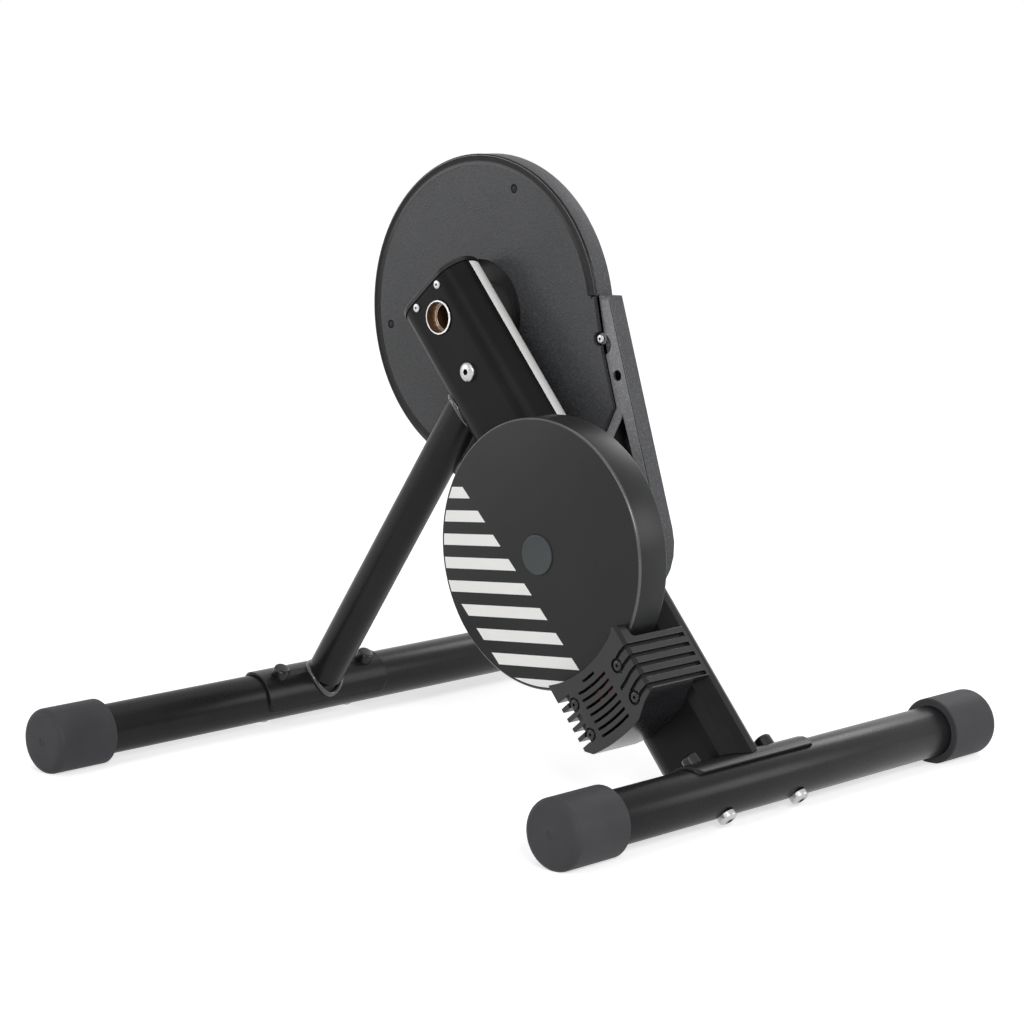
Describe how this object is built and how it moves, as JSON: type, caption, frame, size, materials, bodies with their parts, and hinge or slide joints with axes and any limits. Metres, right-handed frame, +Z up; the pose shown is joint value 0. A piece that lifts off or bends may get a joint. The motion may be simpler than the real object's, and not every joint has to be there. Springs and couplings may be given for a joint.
{
  "type": "direct drive bike trainer",
  "caption": "Stationary bike trainer with two floor bars, a leaning beam, a belt casing round the axle, a striped flywheel and a ribbed brake.",
  "frame": {"origin": "on the floor under the middle of the footprint", "axes": "+Z up, +X to the rear of the bike, +Y along the axle to the drive side"},
  "size_m": [0.5156, 0.611, 0.4624],
  "materials": {
    "frame_steel": "satin black paint",
    "foot_rubber": "matt",
    "cap_plastic": "satin black",
    "cover_plastic": "fine textured black",
    "guard_plastic": "coarse textured dark grey",
    "pulley_plastic": "moulded black",
    "belt_rubber": "matt",
    "bright_steel": "zinc plated",
    "dark_steel": "black oxide",
    "bushing_metal": "bright end with a brown bore",
    "flywheel_iron": "painted dark grey with pale stripes",
    "centre_cap_plastic": "matt grey",
    "brake_aluminium": "satin black paint",
    "stator_steel": "laminated",
    "copper": "lacquered winding",
    "board": "lacquered",
    "inlet_plastic": "black"
  },
  "bodies": {
    "frame": {"main_beam": "frame_steel", "front_strut": "frame_steel", "front_saddle": "frame_steel", "rear_saddle": "frame_steel", "front_floor_bar": "frame_steel", "rear_floor_bar": "frame_steel", "bearing_sleeve": "frame_steel", "foot_cap_front_left": "foot_rubber", "foot_cap_front_right": "foot_rubber", "foot_cap_rear_left": "foot_rubber", "foot_cap_rear_right": "foot_rubber", "beam_end_cap": "cap_plastic", "casing_cover": "cover_plastic", "casing_shell": "guard_plastic", "drive_belt": "belt_rubber", "end_cap_screw_1": "bright_steel", "end_cap_screw_2": "bright_steel", "beam_face_screw": "bright_steel", "guard_screw": "bright_steel", "front_leg_bolt_left": "bright_steel", "front_leg_bolt_right": "bright_steel", "rear_leg_bolt_left": "bright_steel", "rear_leg_bolt_right": "bright_steel", "pulley_bearing_near": "bright_steel", "pulley_bearing_far": "bright_steel", "shaft_bearing_near": "bright_steel", "shaft_bearing_far": "bright_steel", "freehub_bearing": "bright_steel", "drive_side_end_cap": "bright_steel", "brake_screw_1": "dark_steel", "brake_screw_2": "dark_steel", "brake_screw_3": "dark_steel", "brake_screw_4": "dark_steel", "front_leg_nut_left": "dark_steel", "front_leg_nut_right": "dark_steel", "rear_leg_nut_left": "dark_steel", "rear_leg_nut_right": "dark_steel", "casing_screw_1": "dark_steel", "casing_screw_2": "dark_steel", "casing_screw_3": "dark_steel", "casing_stud_1": "dark_steel", "casing_stud_2": "dark_steel", "axle_tube": "bushing_metal", "brake_housing": "brake_aluminium", "stator_core": "stator_steel", "brake_coil_1": "copper", "brake_coil_2": "copper", "brake_coil_3": "copper", "control_board": "board", "power_inlet": "inlet_plastic"},
    "flywheel_group": {"flywheel": "flywheel_iron", "flywheel_centre_cap": "centre_cap_plastic", "flywheel_shaft": "bright_steel", "shaft_nut": "bright_steel", "flywheel_pulley": "dark_steel"},
    "drive_pulley_group": {"drive_pulley": "pulley_plastic"},
    "freehub_group": {"freehub_body": "dark_steel"}
  },
  "joints": [
    {"name": "flywheel_spin", "type": "hinge", "parent": "frame", "child": "flywheel_group", "pos_m": [0.07881, 0, 0.17685], "axis": [0, 1, 0], "continuous": true},
    {"name": "drive_pulley_spin", "type": "hinge", "parent": "frame", "child": "drive_pulley_group", "pos_m": [-0.0575, 0, 0.34], "axis": [0, 1, 0], "continuous": true},
    {"name": "freehub_spin", "type": "hinge", "parent": "frame", "child": "freehub_group", "pos_m": [-0.0575, 0, 0.34], "axis": [0, 1, 0], "continuous": true}
  ],
  "couplings": [
    {"joint": "drive_pulley_spin", "follows": "flywheel_spin", "ratio": 0.17112}
  ]
}
